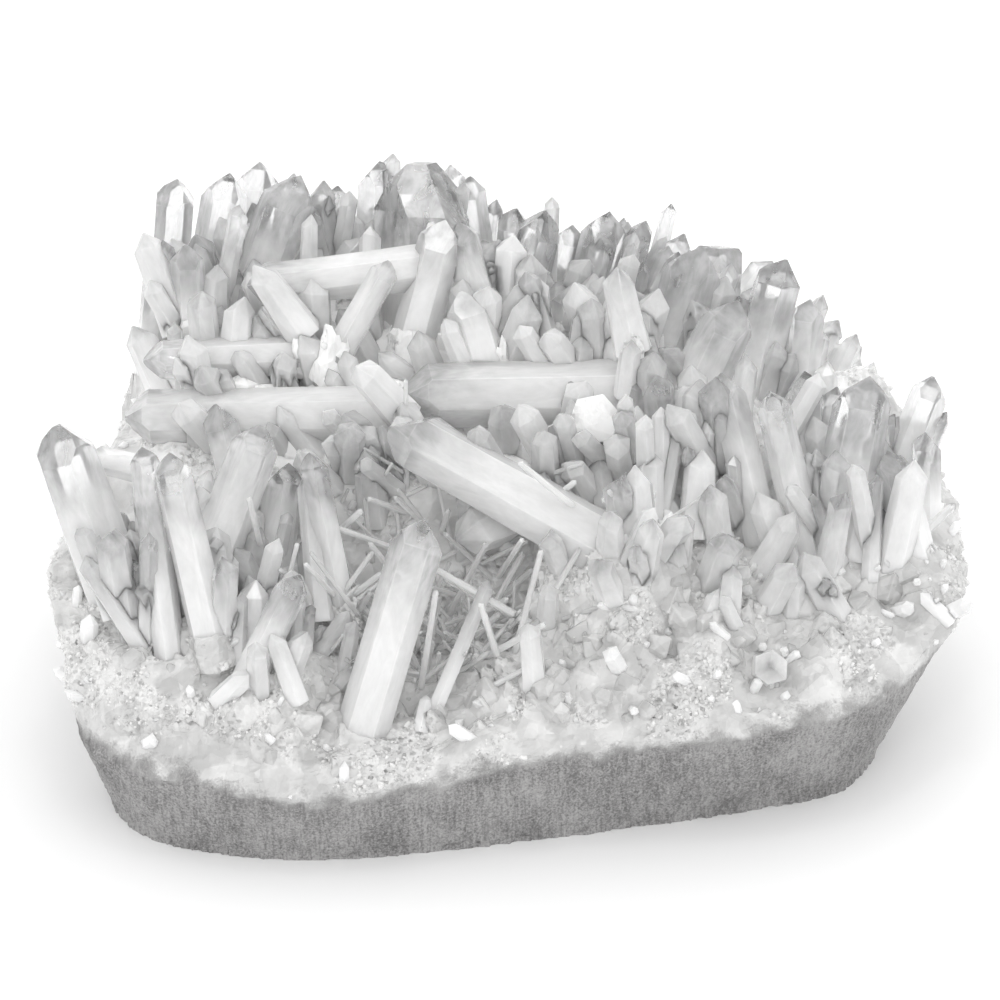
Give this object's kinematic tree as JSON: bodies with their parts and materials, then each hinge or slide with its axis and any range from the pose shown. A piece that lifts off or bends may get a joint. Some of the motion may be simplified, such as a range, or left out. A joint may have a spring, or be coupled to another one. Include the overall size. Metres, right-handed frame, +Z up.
{
  "type": "quartz crystal cluster",
  "caption": "Hand-sized quartz cluster: clear pointed crystals of mixed size stand, lean and lie on a milky rough matrix with a flat sawn base to rest on.",
  "frame": {"origin": "middle of the whole cluster's box, on the plane that its sawn base rests on", "axes": "+Z up, +X along the cluster's widest extent, the low front edge faces -Y and the tall back row stands at +Y"},
  "size_m": [0.1244, 0.1008, 0.0644],
  "materials": {
    "milky_quartz": "rough milky quartz, sugary above and sawn grey below",
    "clear_quartz": "glossy crystal faces, milky at the root and clear toward the tip"
  },
  "bodies": {
    "root": {"back_left_point_1": "clear_quartz", "back_left_point_2": "clear_quartz", "back_left_point_3": "clear_quartz", "back_left_point_4": "clear_quartz", "back_left_point_5": "clear_quartz", "back_left_point_6": "clear_quartz", "back_left_point_7": "clear_quartz", "back_ridge_point_1": "clear_quartz", "back_ridge_point_10": "clear_quartz", "back_ridge_point_11": "clear_quartz", "back_ridge_point_2": "clear_quartz", "back_ridge_point_3": "clear_quartz", "back_ridge_point_4": "clear_quartz", "back_ridge_point_5": "clear_quartz", "back_ridge_point_6": "clear_quartz", "back_ridge_point_7": "clear_quartz", "back_ridge_point_8": "clear_quartz", "back_ridge_point_9": "clear_quartz", "crown_point_1": "clear_quartz", "crown_point_2": "clear_quartz", "crown_point_3": "clear_quartz", "crown_point_4": "clear_quartz", "crown_point_5": "clear_quartz", "crown_point_6": "clear_quartz", "crown_point_7": "clear_quartz", "fan_point_1": "clear_quartz", "fan_point_2": "clear_quartz", "fan_point_3": "clear_quartz", "fan_point_4": "clear_quartz", "fan_point_5": "clear_quartz", "fan_point_6": "clear_quartz", "front_point_1": "clear_quartz", "left_point_1": "clear_quartz", "left_point_2": "clear_quartz", "left_point_3": "clear_quartz", "left_point_4": "clear_quartz", "left_point_5": "clear_quartz", "left_point_6": "clear_quartz", "left_point_7": "clear_quartz", "left_point_8": "clear_quartz", "lying_point_1": "clear_quartz", "lying_point_2": "clear_quartz", "lying_point_3": "clear_quartz", "lying_point_4": "clear_quartz", "lying_point_5": "clear_quartz", "lying_point_6": "clear_quartz", "matrix": "milky_quartz", "rear_point_1": "clear_quartz", "rear_point_2": "clear_quartz", "rear_point_3": "clear_quartz", "rear_point_4": "clear_quartz", "right_crest_point_1": "clear_quartz", "right_crest_point_2": "clear_quartz", "right_crest_point_3": "clear_quartz", "right_crest_point_4": "clear_quartz", "right_crest_point_5": "clear_quartz", "right_crest_point_6": "clear_quartz", "right_crest_point_7": "clear_quartz", "right_crest_point_8": "clear_quartz", "right_crest_point_9": "clear_quartz"}
  },
  "joints": []
}
